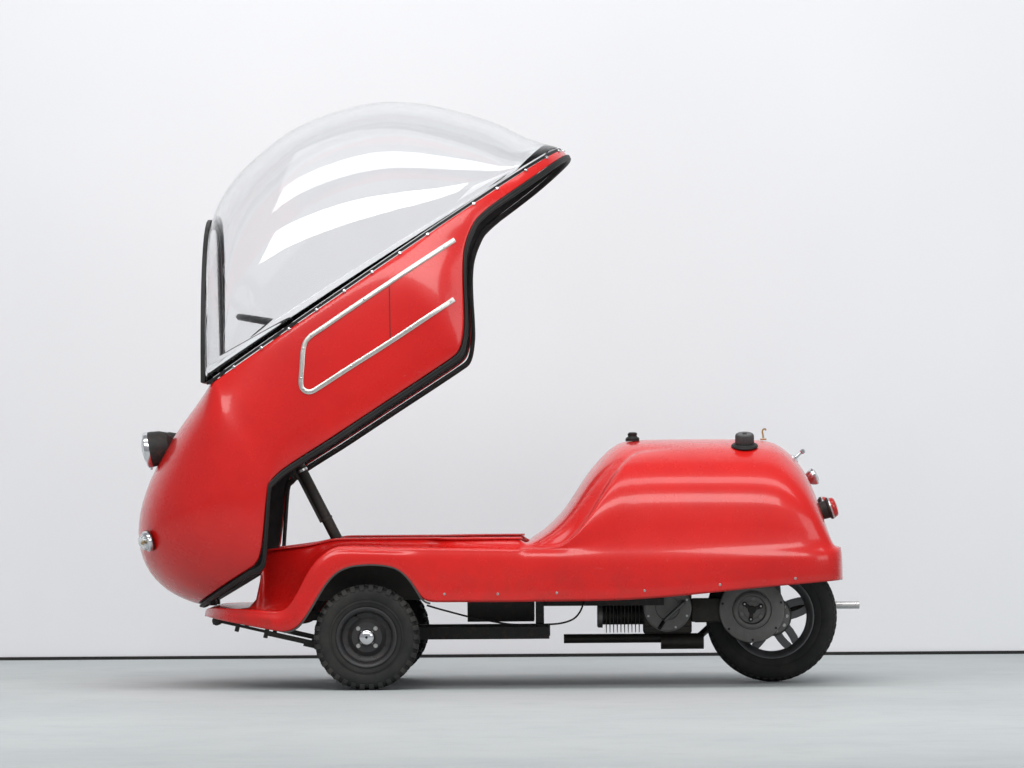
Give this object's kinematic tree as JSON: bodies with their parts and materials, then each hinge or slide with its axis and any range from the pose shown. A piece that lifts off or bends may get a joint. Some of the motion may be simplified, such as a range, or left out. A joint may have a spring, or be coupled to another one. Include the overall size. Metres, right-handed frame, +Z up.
{
  "type": "three wheeled bubble car",
  "caption": "Three wheeled microcar with a clear dome on a forward tilting canopy, moulded tub with rear engine hump, two steered front wheels and one driven rear wheel.",
  "frame": {"origin": "centre of the object's bounding box, at ground level", "axes": "+X forward to the nose, +Y to the car's left, +Z up"},
  "size_m": [2.3706, 1.0682, 1.9121],
  "materials": {
    "red_paint": "gloss, lightly worn",
    "black_rubber": "matte",
    "lining": "matte",
    "seat_vinyl": "satin",
    "black_steel": "satin, worn",
    "bare_steel": "worn",
    "cast_alloy": "cast, dull",
    "polished_alloy": "satin",
    "chrome": "polished",
    "bronze": "tarnished",
    "black_plastic": "satin",
    "red_plastic": "gloss",
    "white_plate": "matte",
    "clear_acrylic": "clear",
    "screen_glass": "clear",
    "tyre": "matte, dusty"
  },
  "bodies": {
    "base": {"base_shell": "red_paint", "floor_mat": "lining", "seat_cushion": "seat_vinyl", "pedals": "bare_steel", "chassis_frame": "black_steel", "battery_tray": "black_steel", "front_axle_beam": "black_steel", "leaf_springs": "black_steel", "engine_block": "cast_alloy", "engine_cylinder": "cast_alloy", "kick_lever": "bare_steel", "exhaust": "bare_steel", "control_cable": "black_rubber", "swing_arm": "black_steel", "drive_cover": "cast_alloy", "rear_axle": "bare_steel", "filler_cap": "black_plastic", "latch_hook": "bronze", "rear_handle": "chrome", "rear_lamps": "red_plastic", "reversing_lamp": "chrome", "licence_plate": "white_plate", "rubber_buffers": "black_rubber", "stay_pivot": "black_steel", "nose_hinges": "bare_steel"},
    "canopy": {"canopy_shell": "red_paint", "canopy_lining": "lining", "canopy_seal": "black_rubber", "canopy_hinges": "bare_steel", "side_trim": "polished_alloy", "dome": "clear_acrylic", "dome_gasket": "black_rubber", "windscreen_glass": "screen_glass", "windscreen_frame": "black_rubber", "wiper": "black_steel", "headlamps": "chrome", "front_lamps": "chrome", "steering_column": "black_steel", "stay_bracket": "black_steel"},
    "steering_wheel": {"steering_wheel": "black_plastic"},
    "stay": {"stay_tube": "black_steel"},
    "tie_rod": {"tie_rod": "bare_steel"},
    "knuckle_left": {"knuckle_left": "bare_steel"},
    "knuckle_right": {"knuckle_right": "bare_steel"},
    "wheel_left": {"front_tyre_left": "tyre", "front_rim_left": "black_steel"},
    "wheel_right": {"front_tyre_right": "tyre", "front_rim_right": "black_steel"},
    "rear_wheel": {"rear_tyre": "tyre", "rear_rim": "cast_alloy"}
  },
  "joints": [
    {"name": "canopy_tilt", "type": "hinge", "parent": "base", "child": "canopy", "pos_m": [0.934, 0, 0.277], "axis": [0, -1, 0], "range_deg": [0, 34]},
    {"name": "stay_fold", "type": "hinge", "parent": "base", "child": "stay", "pos_m": [0.477, 0.285, 0.4], "axis": [0, -1, 0], "range_deg": [0, 116]},
    {"name": "steer_left", "type": "hinge", "parent": "base", "child": "knuckle_left", "pos_m": [0.415, 0.38, 0.169], "axis": [0, 0, 1], "range_deg": [-22, 22]},
    {"name": "steer_right", "type": "hinge", "parent": "base", "child": "knuckle_right", "pos_m": [0.415, -0.38, 0.169], "axis": [0, 0, 1], "range_deg": [-22, 22]},
    {"name": "tie_rod_slide", "type": "slide", "parent": "base", "child": "tie_rod", "axis": [0, 1, 0], "range_m": [-0.036, 0.036]},
    {"name": "steering_wheel_turn", "type": "hinge", "parent": "canopy", "child": "steering_wheel", "pos_m": [0.72316, -0.15, 1.19119], "axis": [-0.1676, 0, 0.9859], "range_deg": [-66, 66]},
    {"name": "wheel_left_spin", "type": "hinge", "parent": "knuckle_left", "child": "wheel_left", "pos_m": [0.415, 0.465, 0.169], "axis": [0, 1, 0], "continuous": true},
    {"name": "wheel_right_spin", "type": "hinge", "parent": "knuckle_right", "child": "wheel_right", "pos_m": [0.415, -0.465, 0.169], "axis": [0, 1, 0], "continuous": true},
    {"name": "rear_wheel_spin", "type": "hinge", "parent": "base", "child": "rear_wheel", "pos_m": [-0.893, 0, 0.215], "axis": [0, 1, 0], "continuous": true}
  ],
  "couplings": [
    {"joint": "stay_fold", "follows": "canopy_tilt", "ratio": 3.4118},
    {"joint": "steer_right", "follows": "steer_left", "ratio": 1},
    {"joint": "tie_rod_slide", "follows": "steer_left", "m_per_rad": 0.09},
    {"joint": "steering_wheel_turn", "follows": "steer_left", "ratio": 3}
  ]
}
